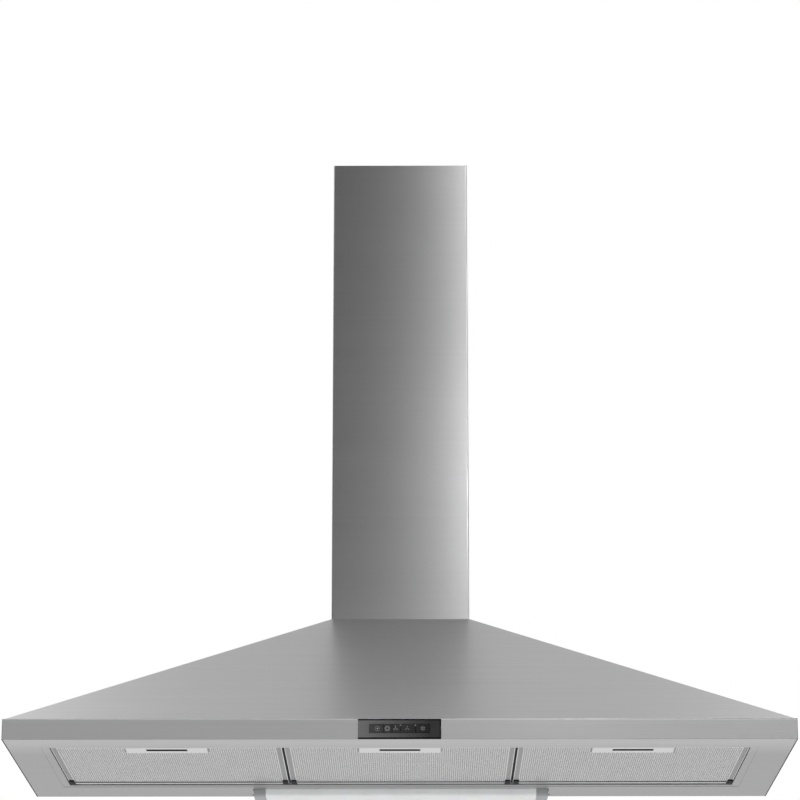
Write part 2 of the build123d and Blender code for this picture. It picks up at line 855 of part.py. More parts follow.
def impeller():
    """Double-inlet wheel: centre disc on a hub, forward-curved blades and two end rings."""
    half = impeller_half
    inner = impeller_radius - blade_depth
    t = disc_thickness
    wheel = fan_bar(impeller_radius, -t / 2, t / 2) + fan_bar(hub_radius, -t, hub_radius)
    for side in (-1, 1):
        ring = fan_bar(impeller_radius, side * half, side * (half - t))
        wheel += ring - fan_bar(inner + t, side * half, side * (half - t))
    blade = Pos(0, (inner + impeller_radius) / 2, 0) * Rot(blade_angle, 0, 0) * Box(
        2 * half, blade_depth, blade_thickness
    )
    turn = 360 / blade_count
    wheel += [Pos(0, fan_y, fan_z) * Rot(i * turn, 0, 0) * blade for i in range(blade_count)]
    return wheel - fan_bar(shaft_radius, -hub_radius, 2 * hub_radius)


def arm_angle(index):
    """The bracket's arms are evenly spaced from straight up."""
    return 90 + 360 * index / arm_count


def motor_bracket():
    """Three-armed bracket that carries the motor across the left inlet."""
    x0 = motor_left - arm_thickness
    bracket = fan_bar(bracket_disc_radius, x0, motor_left)
    reach = inlet_reach + bush_radius
    inner = bracket_disc_radius / 2
    for i in range(arm_count):
        arm = Pos(0, (inner + reach) / 2, 0) * Box(arm_thickness, reach - inner, arm_width)
        bracket += Pos(x0 + arm_thickness / 2, fan_y, fan_z) * Rot(arm_angle(i), 0, 0) * arm
    return bracket - fan_bar(bearing_radius - 2, x0 - 1, 0)


def motor_bushes():
    """Rubber bushes between the bracket's arms and the scroll."""
    bushes = []
    for i in range(arm_count):
        angle = math.radians(arm_angle(i))
        y = fan_y + inlet_reach * math.cos(angle)
        z = fan_z + inlet_reach * math.sin(angle)
        bushes.append(crosswise(bush_radius, motor_left, -scroll_half, y, z))
    return bushes


def blower_plate():
    """Deck under the ring at the canopy's top; the scroll hangs from it."""
    half = chimney_width / 2 - deck_margin
    plate = block(-half, half, -chimney_depth + deck_margin, -back_sheet, deck_low, deck_top)
    inner = scroll_half - scroll_wall
    plate -= block(-inner, inner, outlet_front, outlet_rear, deck_low, deck_top)
    plate -= upright(gland_radius, gland_x, gland_y, deck_low, deck_top)
    holes = screw_holes(foot_screw_x, foot_screws_y, deck_low, deck_top)
    return plate - (holes + screw_holes(deck_screw_x, deck_screws_y, deck_low, deck_top))


def outlet_collar():
    """Round duct collar on a square flange, with a step inside on which the flaps rest."""
    z1 = canopy_top + collar_height
    bore = duct_radius - collar_wall
    collar = block(
        -collar_reach, collar_reach, collar_y - collar_reach, collar_y + collar_reach,
        deck_top, deck_top + collar_wall,
    )
    collar += upright(duct_radius, 0, collar_y, deck_top, z1)
    collar -= upright(bore - collar_seat, 0, collar_y, deck_top, z1)
    seat = pin_z - flap_thickness / 2 - moving_gap
    collar -= upright(bore, 0, collar_y, seat, z1)
    return collar - inward(pin_radius, 0, collar_y - duct_radius - 1, collar_y + duct_radius + 1, pin_z)


def damper_pin():
    """The pin across the collar that both flaps turn on."""
    reach = duct_radius - moving_gap
    return inward(pin_radius, 0, collar_y - reach, collar_y + reach, pin_z)


def damper_flap(side):
    """Half-round flap with two knuckles on the pin; the other flap's knuckles sit between them."""
    z0, z1 = pin_z - flap_thickness / 2, pin_z + flap_thickness / 2
    start = knuckle_radius + knuckle_room
    reach = flap_radius + 1
    flap = upright(flap_radius, 0, collar_y, z0, z1)
    flap &= block(side * start, side * reach, collar_y - reach, collar_y + reach, z0, z1)
    for step in (-1.5, 0.5):
        y = collar_y + side * step * knuckle_spacing
        y0, y1 = y - knuckle_length / 2, y + knuckle_length / 2
        flap += inward(knuckle_radius, 0, y0, y1, pin_z)
        flap += block(0, side * (start + 1), y0, y1, z0, z1)
    return flap - inward(pin_radius + pin_play, 0, collar_y - reach, collar_y + reach, pin_z)


# ---- Electrics ----

def terminal_block(inset, y0, y1):
    """A block of the terminal box's outline, moved in by inset."""
    return block(
        terminal_x + inset, terminal_x + terminal_width - inset, y0, y1,
        terminal_z + inset, terminal_z + terminal_height - inset,
    )


def terminal_box():
    """Moulded box on the back panel, open to the front."""
    hollow = terminal_block(terminal_wall, -terminal_depth, -back_sheet - terminal_wall)
    return terminal_block(0, -terminal_depth, -back_sheet) - hollow


def terminal_lid():
    """The terminal box's cover."""
    return terminal_block(0, -terminal_depth - terminal_wall, -terminal_depth)


def run_capacitor():
    """Can of the motor's capacitor with its two blades, strapped to the back panel."""
    y = -back_sheet - capacitor_radius
    top = capacitor_z + capacitor_length
    can = upright(capacitor_radius, capacitor_x, y, capacitor_z, top)
    can = fillet(can.edges().filter_by(GeomType.CIRCLE), 2)
    for x in (capacitor_x - 5, capacitor_x + 5):
        can += block(x - 0.4, x + 0.4, y - 3, y + 3, top, top + 8)
    return can


def cable_gland():
    """Gland through the deck, with a nut below and its dome above."""
    height = gland_nut_height
    nut = extrude(RegularPolygon(gland_nut_radius, 6), amount=height)
    gland = upright(gland_radius, gland_x, gland_y, deck_low - height, deck_top + 2.5 * height)
    gland += Pos(gland_x, gland_y, deck_top) * nut
    gland += Pos(gland_x, gland_y, deck_low - height) * nut
    return gland - upright(gland_bore, gland_x, gland_y, deck_low - height, deck_top + 3 * height)


def lead(points, radii):
    """A round lead of straight runs joined by tangent arcs."""
    path = FilletPolyline(*points, radius=radii)
    return sweep(Plane(path @ 0, z_dir=path % 0) * Circle(lead_radius), path=path)


def control_lead():
    """From the terminal box over the light's tray, and along the right divider to the controls."""
    x = filter_pitch / 2
    over = tray_top + 3 * lead_radius
    along = filter_top + 2 * moving_gap + lead_radius
    down = tray_front - 6 * lead_radius
    enter = inside_front + housing_depth - 3 * lead_radius
    y = -terminal_depth / 2
    points = [
        (x, y, terminal_z), (x, y, over), (x, down, over), (x, down - 30, along),
        (x, enter, along), (housing_width / 2, enter, along),
    ]
    return lead(points, [14, 18, 20, 14])


def lamp_lead():
    """From the terminal box's side along the back panel, and down to the lamp's control gear."""
    y = -terminal_depth / 2
    z0, z1 = terminal_z + 10, terminal_z - 48
    x = terminal_x - 32
    points = [
        (terminal_x, y, z0), (x, y, z0), (x, y, z1), (ballast_x, y, z1),
        (ballast_x, ballast_y, z1), (ballast_x, ballast_y, canopy_sheet + ballast_height),
    ]
    return lead(points, [12, 12, 12, 12])


# ---- Write every node ----

write("canopy_shell", canopy_shell())
write("back_panel", back_panel())
write("bottom_panel", bottom_panel())
write("filter_dividers", *filter_dividers())
write("lower_chimney", lower_chimney())
write("upper_chimney", upper_chimney())
write("chimney_bracket", chimney_bracket())
write("screws", *screws())
for place, place_name in enumerate(filter_names):
    write(f"filter_frame_{place_name}", filter_frame(place))
    write(f"filter_shoes_{place_name}", *filter_shoes(place))
    write(f"filter_mesh_{place_name}", filter_mesh(place))
    write(f"filter_handle_{place_name}", filter_handle(place))
    write(f"filter_latch_{place_name}", filter_latch(place))
    write(f"latch_spring_{place_name}", latch_spring(place))
write("control_panel", control_panel())
for place, place_name in enumerate(button_names):
    write(place_name, button(place))
write("control_housing", control_housing())
write("control_board", control_board())
write("tactile_switches", *tactile_switches())
write("indicator_lights", *indicator_lights())
write("light_housing", light_housing())
write("light_cover", light_cover())
write("light_end_caps", *light_end_caps())
write("lamp_tube", lamp_tube())
write("lamp_holders", *lamp_holders())
write("light_ballast", light_ballast())
write("scroll_halves", scroll(-1), scroll(1))
write("inlet_guards", inlet_guard(-1), inlet_guard(1))
write("motor", motor())
write("motor_bearings", *motor_bearings())
write("motor_shaft", motor_shaft())
write("impeller", impeller())
write("motor_bracket", motor_bracket())
write("motor_bushes", *motor_bushes())
write("blower_plate", blower_plate())
write("outlet_collar", outlet_collar())
write("damper_pin", damper_pin())
write("damper_flap_left", damper_flap(-1))
write("damper_flap_right", damper_flap(1))
write("terminal_box", terminal_box())
write("terminal_lid", terminal_lid())
write("run_capacitor", run_capacitor())
write("cable_gland", cable_gland())
write("inner_leads", control_lead(), lamp_lead())
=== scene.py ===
import math

import bmesh
import bpy
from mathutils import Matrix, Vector


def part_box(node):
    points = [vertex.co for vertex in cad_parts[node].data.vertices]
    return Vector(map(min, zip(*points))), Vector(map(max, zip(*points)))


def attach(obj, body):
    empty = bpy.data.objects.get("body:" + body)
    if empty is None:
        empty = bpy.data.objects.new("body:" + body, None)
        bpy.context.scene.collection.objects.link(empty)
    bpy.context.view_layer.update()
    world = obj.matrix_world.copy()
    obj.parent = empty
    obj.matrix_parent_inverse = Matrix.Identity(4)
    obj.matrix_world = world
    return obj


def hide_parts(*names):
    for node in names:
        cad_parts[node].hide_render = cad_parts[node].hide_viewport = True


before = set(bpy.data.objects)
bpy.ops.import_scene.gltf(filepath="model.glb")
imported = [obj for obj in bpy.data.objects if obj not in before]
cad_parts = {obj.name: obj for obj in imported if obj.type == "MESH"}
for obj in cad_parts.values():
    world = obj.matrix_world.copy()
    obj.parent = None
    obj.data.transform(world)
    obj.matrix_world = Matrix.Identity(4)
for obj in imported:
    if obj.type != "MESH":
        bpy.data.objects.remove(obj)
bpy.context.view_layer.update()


# ---- Canopy ----
# A folded sheet of stainless steel: fascia band, small ledge and three slopes up to the chimney.
# Its outside is brushed level, so highlights stretch across the grain, and a painted highlight brightens
# the fold along the fascia's top.

def new_finish(name, colour, metallic, roughness):
    """A new material with its colour, metal and roughness on its shader."""
    material = bpy.data.materials.new(name)
    material.use_nodes = True
    shader = material.node_tree.nodes["Principled BSDF"]
    shader.inputs["Base Color"].default_value = (*colour, 1)
    shader.inputs["Metallic"].default_value = metallic
    shader.inputs["Roughness"].default_value = roughness
    return material, shader


def node(material, kind, **settings):
    """A shader node with its settings."""
    made = material.node_tree.nodes.new(kind)
    for key, value in settings.items():
        setattr(made, key, value)
    return made


def link(material, source, target):
    """Joins one node's output to another's input."""
    material.node_tree.links.new(source, target)


def grain(material, stretch, scale=1.0, detail=3.0, rough=0.5):
    """Noise on the object's own coordinates, in cycles per metre along each axis."""
    place = node(material, "ShaderNodeTexCoord")
    mapping = node(material, "ShaderNodeMapping")
    mapping.inputs["Scale"].default_value = stretch
    noise = node(material, "ShaderNodeTexNoise")
    noise.inputs["Scale"].default_value = scale
    noise.inputs["Detail"].default_value = detail
    noise.inputs["Roughness"].default_value = rough
    link(material, place.outputs["Object"], mapping.inputs["Vector"])
    link(material, mapping.outputs["Vector"], noise.inputs["Vector"])
    return noise.outputs["Fac"]


def between(material, source, low, high, start=0.3, end=0.7):
    """The source's middle range spread from low to high."""
    spread = node(material, "ShaderNodeMapRange")
    for key, value in (("From Min", start), ("From Max", end), ("To Min", low), ("To Max", high)):
        spread.inputs[key].default_value = value
    link(material, source, spread.inputs["Value"])
    return spread.outputs["Result"]


def tint(material, source, dark, light, start=0.3, end=0.7):
    """The base colour runs from dark to light with the source."""
    mix = node(material, "ShaderNodeMix", data_type="RGBA")
    mix.inputs[6].default_value = (*dark, 1)
    mix.inputs[7].default_value = (*light, 1)
    link(material, between(material, source, 0, 1, start, end), mix.inputs[0])
    link(material, mix.outputs[2], material.node_tree.nodes["Principled BSDF"].inputs["Base Color"])


def shading_math(material, operation, first, second=0.0):
    """One arithmetic step between sockets or numbers."""
    step = node(material, "ShaderNodeMath", operation=operation)
    for socket, value in zip(step.inputs, (first, second)):
        if isinstance(value, (int, float)):
            socket.default_value = value
        else:
            link(material, value, socket)
    return step.outputs["Value"]


def axes(material):
    """The object's own coordinates, one socket for each axis."""
    place = node(material, "ShaderNodeTexCoord")
    split = node(material, "ShaderNodeSeparateXYZ")
    link(material, place.outputs["Object"], split.inputs["Vector"])
    return split.outputs


def inside(material, source, low, high):
    """One where the source lies between two values, nought elsewhere."""
    above = shading_math(material, "GREATER_THAN", source, low)
    return shading_math(material, "MULTIPLY", above, shading_math(material, "LESS_THAN", source, high))


def shade(material, source):
    """Multiplies the base colour by the source."""
    colour = material.node_tree.nodes["Principled BSDF"].inputs["Base Color"]
    mix = node(material, "ShaderNodeMix", data_type="RGBA", blend_type="MULTIPLY")
    mix.inputs[0].default_value = 1.0
    link(material, colour.links[0].from_socket, mix.inputs[6])
    link(material, source, mix.inputs[7])
    link(material, mix.outputs[2], colour)


def relief(material, source, height, strength=1.0):
    """Small bumps of a real height from the source."""
    bump = node(material, "ShaderNodeBump")
    bump.inputs["Distance"].default_value = height
    bump.inputs["Strength"].default_value = strength
    link(material, source, bump.inputs["Height"])
    link(material, bump.outputs["Normal"], material.node_tree.nodes["Principled BSDF"].inputs["Normal"])


quarter_turn = 0.25


def brushed(name, dark, light, roughness, stretch, level=True, streak=0.00002, anisotropy=0.7):
    """Brushed steel: fine streaks along the grain, with highlights that stretch across it."""
    material, shader = new_finish(name, light, 1.0, roughness)
    shader.inputs["Anisotropic"].default_value = anisotropy
    shader.inputs["Anisotropic Rotation"].default_value = quarter_turn
    streaks = grain(material, stretch, detail=4.0, rough=0.6)
    tint(material, streaks, dark, light)
    smoothest, roughest = roughness - 0.02, roughness + 0.03
    link(material, between(material, streaks, smoothest, roughest), shader.inputs["Roughness"])
    relief(material, streaks, streak, 0.5)
    if level:
        facing = node(material, "ShaderNodeNewGeometry")
        cross = node(material, "ShaderNodeVectorMath", operation="CROSS_PRODUCT")
        cross.inputs[0].default_value = (0, 0, 1)
        link(material, facing.outputs["Normal"], cross.inputs[1])
        link(material, cross.outputs["Vector"], shader.inputs["Tangent"])
    else:
        along = node(material, "ShaderNodeCombineXYZ")
        along.inputs["X"].default_value = 1.0
        link(material, along.outputs["Vector"], shader.inputs["Tangent"])
    return material


def paint(material, *names):
    """Gives CAD nodes their finish."""
    for name in names:
        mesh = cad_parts[name].data
        if not mesh.materials:
            mesh.materials.append(material)
        for index in range(len(mesh.materials)):
            mesh.materials[index] = material


cover_steel = brushed("brushed_cover_steel", (0.6, 0.6, 0.605), (0.65, 0.65, 0.655), 0.36, (3, 3, 500),
                      anisotropy=0.4)
# A painted highlight: the base colour is brighter in a narrow band along the fold at the fascia's top.
fold_top = 0.0322
fold_width = 0.0024
fold_highlight_gain = 1.5
fold_highlight_band = inside(cover_steel, axes(cover_steel)["Z"], fold_top - fold_width, fold_top)
shade(cover_steel, between(cover_steel, fold_highlight_band, 1.0, fold_highlight_gain, 0.0, 1.0))
paint(cover_steel, "canopy_shell")


# ---- Back panel and deck ----
# Galvanised sheet closes the canopy's rear and carries the blower under the chimney. The same
# sheet makes the wall bracket, the lamp's tray, the motor's bracket and the lamp's control gear.

crystals_in_a_metre = 120.0


def galvanised(name, dark, light):
    """Zinc spangle: large flat crystals of slightly different greys."""
    material, shader = new_finish(name, light, 0.9, 0.42)
    place = node(material, "ShaderNodeTexCoord")
    crystal = node(material, "ShaderNodeTexVoronoi")
    crystal.inputs["Scale"].default_value = crystals_in_a_metre
    link(material, place.outputs["Object"], crystal.inputs["Vector"])
    split = node(material, "ShaderNodeSeparateColor")
    link(material, crystal.outputs["Color"], split.inputs["Color"])
    tint(material, split.outputs["Red"], dark, light, 0.0, 1.0)
    gloss = between(material, split.outputs["Green"], 0.34, 0.52, 0.0, 1.0)
    link(material, gloss, shader.inputs["Roughness"])
    relief(material, grain(material, (1, 1, 1), 300.0), 0.00002, 0.4)
    return material


zinc_sheet = galvanised("galvanised_sheet", (0.36, 0.37, 0.38), (0.55, 0.56, 0.57))
paint(zinc_sheet, "back_panel", "blower_plate", "chimney_bracket", "light_housing", "motor_bracket",
      "light_ballast")


# ---- Underside ----
# The bottom panel is one stainless sheet, brushed along its width, with a pressed rim round its large
# opening. A painted reflection in its base colour is brightest along the front and darker towards the
# rear.

underside_steel = brushed("brushed_underside_steel", (0.6, 0.6, 0.605), (0.7, 0.7, 0.705), 0.36,
                          (6, 700, 6), level=False)
# A painted reflection: full brightness at the front edge, falling to darker tone further back.
front_edge = -0.47
sheen_fade_end = -0.37
faded_sheen_tone = 0.78
underside_painted_reflection = between(underside_steel, axes(underside_steel)["Y"], 1.0, faded_sheen_tone,
                         front_edge, sheen_fade_end)
shade(underside_steel, underside_painted_reflection)
paint(underside_steel, "bottom_panel")


# ---- Chimney covers ----
# Two folded covers, one inside the other, brushed level as the canopy is. The inner one slides up
# to the ceiling and hangs on the wall bracket.

chimney_steel = brushed("brushed_chimney_steel", (0.61, 0.61, 0.615), (0.64, 0.64, 0.645), 0.36,
                        (3, 3, 700), streak=0.000004, anisotropy=0.4)
paint(chimney_steel, "lower_chimney", "upper_chimney")


# ---- Screws, springs and shafts ----
# Zinc-plated screws and coiled latch springs, and the bare turned steel of the motor's shaft, its
# bearings and the dampers' pin.

turned_steel, turned_shader = new_finish("turned_steel", (0.6, 0.6, 0.6), 1.0, 0.28)
turned_grain = grain(turned_steel, (1, 1, 1), 900.0)
tint(turned_steel, turned_grain, (0.42, 0.42, 0.42), (0.62, 0.62, 0.62))
link(turned_steel, between(turned_steel, turned_grain, 0.22, 0.36), turned_shader.inputs["Roughness"])
paint(turned_steel, "screws", "latch_spring_left", "latch_spring_centre", "latch_spring_right",
      "motor_shaft", "motor_bearings", "damper_pin")


# ---- Filter frames, shoes, handles and dividers ----
# Aluminium channel meets in mitres round each filter, drawn along its length. Black moulded shoes sit
# under the rear corners, a bright plate with a finger slot in front, and two bars part the three filters.
# Painted shade darkens each side channel between its folds, a painted highlight lightens the rear rail,
# and a painted shadow runs along the rear rail's inner edge. The finger slot is painted black as shade,
# and so are the bars, as the shade in the gaps between the filters.

frame_border = 0.01
frame_fold = 0.0013
rear_seam_shadow = 0.0025
hook_reach = 0.0118
frame_low, frame_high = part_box("filter_frame_centre")
frame_depth = frame_high.y - frame_low.y - hook_reach
rear_highlight_gain = 0.2
side_shade_loss = 0.75
seam_shadow_loss = 1.1


def mitred(name, node_name, border):
    """Drawn aluminium whose grain turns at the frame's mitres."""
    low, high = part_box(node_name)
    material, shader = new_finish(name, (0.8, 0.8, 0.81), 1.0, 0.3)
    shader.inputs["Anisotropic"].default_value = 0.5
    shader.inputs["Anisotropic Rotation"].default_value = quarter_turn
    place = node(material, "ShaderNodeTexCoord")
    centre = node(material, "ShaderNodeMapping")
    centre.inputs["Location"].default_value = (-(low.x + high.x) / 2, -(low.y + border), 0)
    link(material, place.outputs["Object"], centre.inputs["Vector"])
    split = node(material, "ShaderNodeSeparateXYZ")
    link(material, centre.outputs["Vector"], split.inputs["Vector"])
    from_side = shading_math(material, "SUBTRACT", (high.x - low.x) / 2,
                             shading_math(material, "ABSOLUTE", split.outputs["X"]))
    depth = frame_depth / 2 - border
    from_end = shading_math(material, "SUBTRACT", frame_depth / 2, shading_math(
        material, "ABSOLUTE", shading_math(material, "SUBTRACT", split.outputs["Y"], depth)))
    sideways = shading_math(material, "LESS_THAN", from_side, from_end)
    lengthways = shading_math(material, "SUBTRACT", 1.0, sideways)
    along = node(material, "ShaderNodeCombineXYZ")
    link(material, lengthways, along.inputs["X"])
    link(material, sideways, along.inputs["Y"])
    link(material, along.outputs["Vector"], shader.inputs["Tangent"])
    choose_grain = node(material, "ShaderNodeMix", data_type="FLOAT")
    link(material, sideways, choose_grain.inputs["Factor"])
    link(material, grain(material, (8, 700, 700), detail=4.0), choose_grain.inputs["A"])
    link(material, grain(material, (700, 8, 700), detail=4.0), choose_grain.inputs["B"])
    streaks = choose_grain.outputs["Result"]
    tint(material, streaks, (0.66, 0.67, 0.68), (0.86, 0.86, 0.87))
    # Painted light in the base colour: shade on the side channels between their folds, a highlight on the
    # rear rail, and a shadow line along its inner edge.
    side_shade = shading_math(material, "MULTIPLY", sideways,
                          inside(material, from_side, frame_fold, border - frame_fold))
    rear = shading_math(material, "MULTIPLY", lengthways,
                        shading_math(material, "GREATER_THAN", split.outputs["Y"], depth))
    seam_shadow = shading_math(material, "MULTIPLY", rear,
                        inside(material, from_end, border - rear_seam_shadow, border * 2))
    tone = shading_math(material, "SUBTRACT", shading_math(material, "MULTIPLY", rear, rear_highlight_gain),
                        shading_math(material, "MULTIPLY", side_shade, side_shade_loss))
    tone = shading_math(material, "SUBTRACT", tone, shading_math(material, "MULTIPLY", seam_shadow, seam_shadow_loss))
    shade(material, shading_math(material, "ADD", tone, 1.0))
    link(material, between(material, streaks, 0.26, 0.36), shader.inputs["Roughness"])
    relief(material, streaks, 0.00002, 0.5)
    return material


def moulded(name, dark, light, roughness, scale=1500.0, height=0.00003):
    """Moulded plastic: an even colour over a fine, slightly uneven grain."""
    material, shader = new_finish(name, light, 0.0, roughness)
    fine = grain(material, (1, 1, 1), scale)
    tint(material, fine, dark, light)
    link(material, between(material, fine, roughness - 0.06, roughness + 0.06), shader.inputs["Roughness"])
    relief(material, fine, height, 0.4)
    return material


handle_metal = brushed("smooth_handle_metal", (0.84, 0.84, 0.84), (0.9, 0.9, 0.9), 0.38, (8, 600, 8),
                       level=False, anisotropy=0.5)
# Painted shade: the finger slot and a narrow margin round it are black in the base colour, so the slot
# looks a little deeper than it is.
slot_shade_low, slot_shade_high = -0.4075, -0.3931
slot_shade_half_width = 0.0314
slot_shade_tone = 0.02
filter_pitch = 0.3576
handle_axes = axes(handle_metal)
from_middle = shading_math(handle_metal, "ABSOLUTE", handle_axes["X"])
from_outer = shading_math(handle_metal, "ABSOLUTE",
                          shading_math(handle_metal, "SUBTRACT", from_middle, filter_pitch))
slot_shade_width = inside(handle_metal, shading_math(handle_metal, "MINIMUM", from_middle, from_outer),
                    -1.0, slot_shade_half_width)
slot_painted_shade = shading_math(handle_metal, "MULTIPLY", slot_shade_width,
                         inside(handle_metal, handle_axes["Y"], slot_shade_low, slot_shade_high))
shade(handle_metal, between(handle_metal, slot_painted_shade, 1.0, slot_shade_tone, 0.0, 1.0))
latch_black_and_gap_shade = moulded("moulded_latch_black", (0.002, 0.002, 0.002), (0.006, 0.006, 0.006), 0.6)
latch_black_and_gap_shade.node_tree.nodes["Principled BSDF"].inputs["Specular IOR Level"].default_value = 0.15
sides = ("left", "centre", "right")
# The dividers get the same black, as painted shade in the gaps between the filters.
paint(latch_black_and_gap_shade, "filter_dividers")
for side in sides:
    paint(mitred(f"drawn_frame_{side}", f"filter_frame_{side}", frame_border), f"filter_frame_{side}")
    paint(handle_metal, f"filter_handle_{side}")
    paint(latch_black_and_gap_shade, f"filter_latch_{side}", f"filter_shoes_{side}")


# ---- Filter mesh ----
# Each face of a filter is a sheet of expanded aluminium, slit and stretched into diamonds. The sheets lie
# inside the frame's lips and stop at the handle's plate. The rear one is painted much darker, as shade, so
# that the front one's strands stand out against it.

def deselect():
    """Nothing stays selected, so that the next operator meets only the new piece."""
    for thing in bpy.context.selected_objects:
        thing.select_set(False)


def work_on(piece):
    """The piece alone is selected and active."""
    deselect()
    piece.select_set(True)
    bpy.context.view_layer.objects.active = piece


def edit(piece):
    """Edit mode on one piece alone, with all of it selected."""
    work_on(piece)
    bpy.ops.object.mode_set(mode="EDIT")
    bpy.ops.mesh.select_all(action="SELECT")


def leave():
    """Back to object mode."""
    bpy.ops.object.mode_set(mode="OBJECT")


def pick(piece, kind, test):
    """In edit mode, selects the faces, edges or vertices that pass a test."""
    bpy.ops.mesh.select_mode(type=kind)
    mesh = bmesh.from_edit_mesh(piece.data)
    every = {"FACE": mesh.faces, "EDGE": mesh.edges, "VERT": mesh.verts}[kind]
    for part in (*mesh.verts, *mesh.edges, *mesh.faces):
        part.select_set(False)
    for part in every:
        if test(part):
            part.select_set(True)
    bmesh.update_edit_mesh(piece.data)


def settle(piece):
    """Moves the piece's place and size into its mesh, so that its object sits at the origin."""
    work_on(piece)
    bpy.ops.object.transform_apply(location=True, rotation=True, scale=True)


def add_modifier(piece, kind, **settings):
    """Adds a modifier and applies it."""
    work_on(piece)
    modifier = piece.modifiers.new(kind.lower(), kind)
    for key, value in settings.items():
        setattr(modifier, key, value)
    bpy.ops.object.modifier_apply(modifier=modifier.name)


def finish_piece(piece, name, material, body):
    """Names a piece, gives it its finish, and fixes it to its body."""
    piece.name = name
    piece.data.name = name
    piece.data.materials.clear()
    piece.data.materials.append(material)
    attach(piece, body)
    return piece


def copy_piece(piece, shift):
    """A copy with its own mesh, moved by a shift."""
    work_on(piece)
    bpy.ops.object.duplicate()
    made = bpy.context.active_object
    edit(made)
    bpy.ops.transform.translate(value=shift)
    leave()
    return made


def sheet_grid(low, high, z, columns, rows):
    """A flat grid between two corners at a height."""
    deselect()
    middle = (low + high) / 2
    bpy.ops.mesh.primitive_grid_add(x_subdivisions=columns, y_subdivisions=rows, size=1,
                                    location=(middle.x, middle.y, z))
    piece = bpy.context.active_object
    piece.scale = (high.x - low.x, high.y - low.y, 1)
    settle(piece)
    return piece


def cut_out(piece, low, high):
    """Deletes the faces whose middles lie over the handle's plate."""
    pick(piece, "FACE", lambda face: low.x < face.calc_center_median().x < high.x
         and face.calc_center_median().y < high.y)
    bpy.ops.mesh.delete(type="FACE")


def foil(name, dark, light):
    """Bare aluminium foil with a fine uneven gloss."""
    material, shader = new_finish(name, light, 1.0, 0.36)
    uneven = grain(material, (1, 1, 1), 900.0)
    tint(material, uneven, dark, light)
    link(material, between(material, uneven, 0.3, 0.42), shader.inputs["Roughness"])
    return material


mesh_metal = foil("expanded_mesh_metal", (0.94, 0.94, 0.94), (0.99, 0.99, 0.99))
# The rear sheet's dark grey is painted shade.
rear_metal_painted_shade = foil("rear_mesh_metal", (0.3, 0.3, 0.3), (0.45, 0.45, 0.45))

diamond_width = 0.0065
diamond_length = 0.006
strand_width = 0.0016
strand_gauge = 0.00008
sheet_gap = 0.00005
plate_gap = Vector((0.0006, 0.0006, 0))
plate_depth = 0.0388


def expanded_sheet(node_name, plate_name):
    """A sheet of diamonds that fills a filter's frame."""
    low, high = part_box(node_name)
    plate_low, plate_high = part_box(plate_name)
    columns = round((high.x - low.x) / diamond_width)
    rows = round((high.y - low.y) / diamond_length)
    piece = sheet_grid(low, high, low.z + sheet_gap, columns, rows)
    edit(piece)
    bpy.ops.mesh.poke()
    straight = min((high.x - low.x) / columns, (high.y - low.y) / rows) / 100
    pick(piece, "EDGE", lambda edge: not edge.is_boundary and min(
        abs(edge.verts[0].co.x - edge.verts[1].co.x),
        abs(edge.verts[0].co.y - edge.verts[1].co.y)) < straight)
    bpy.ops.mesh.dissolve_edges(use_verts=False)
    cut_out(piece, plate_low - plate_gap,
            Vector((plate_high.x, plate_low.y + plate_depth, 0)) + plate_gap)
    bpy.ops.mesh.select_all(action="SELECT")
    bpy.ops.mesh.inset(thickness=strand_width / 2, use_boundary=True, use_individual=True)
    bpy.ops.mesh.delete(type="FACE")
    leave()
    add_modifier(piece, "SOLIDIFY", thickness=strand_gauge, offset=1)
    return piece


for side in sides:
    pad_low, pad_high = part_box(f"filter_mesh_{side}")
    front_sheet = expanded_sheet(f"filter_mesh_{side}", f"filter_handle_{side}")
    rear_sheet = copy_piece(front_sheet, (0, 0, pad_high.z - pad_low.z - strand_gauge - 2 * sheet_gap))
    finish_piece(front_sheet, f"expanded_mesh_{side}", mesh_metal, f"filter_{side}")
    finish_piece(rear_sheet, f"rear_mesh_{side}", rear_metal_painted_shade, f"filter_{side}")
    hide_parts(f"filter_mesh_{side}")


# ---- Filter packing ----
# Between a filter's two sheets lie layers of crumpled aluminium net, pressed flat, which catch the grease.
# Their colour is painted nearly black, as the shade inside the filter, and shows as an uneven dark grey
# through the diamonds.

# Nearly black, as painted shade inside the filter.
packing_metal_painted_shade = new_finish("crumpled_packing_metal", (0.06, 0.06, 0.06), 0.9, 0.6)[0]
packing_grain = grain(packing_metal_painted_shade, (1, 1, 1), 420.0, 5.0, 0.7)
tint(packing_metal_painted_shade, packing_grain, (0.02, 0.02, 0.02), (0.1, 0.1, 0.1), 0.4, 0.6)
relief(packing_metal_painted_shade, packing_grain, 0.0004, 0.8)

packing_step = 0.0035
packing_crumple = 0.0006
packing_gauge = 0.0002
for number, side in enumerate(sides):
    pad_low, pad_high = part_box(f"filter_mesh_{side}")
    plate_low, plate_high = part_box(f"filter_handle_{side}")
    middle = (pad_low.z + pad_high.z) / 2
    columns = round((pad_high.x - pad_low.x) / packing_step)
    rows = round((pad_high.y - pad_low.y) / packing_step)
    packing = sheet_grid(pad_low + 2 * plate_gap, pad_high - 2 * plate_gap, middle, columns, rows)
    edit(packing)
    cut_out(packing, plate_low - 2 * plate_gap,
            Vector((plate_high.x, plate_low.y + plate_depth, 0)) + 2 * plate_gap)
    bpy.ops.mesh.select_all(action="SELECT")
    bpy.ops.transform.vertex_random(offset=packing_crumple, uniform=1.0, seed=number + 1)
    leave()
    add_modifier(packing, "SOLIDIFY", thickness=packing_gauge, offset=0)
    finish_piece(packing, f"mesh_packing_{side}", packing_metal_painted_shade, f"filter_{side}")


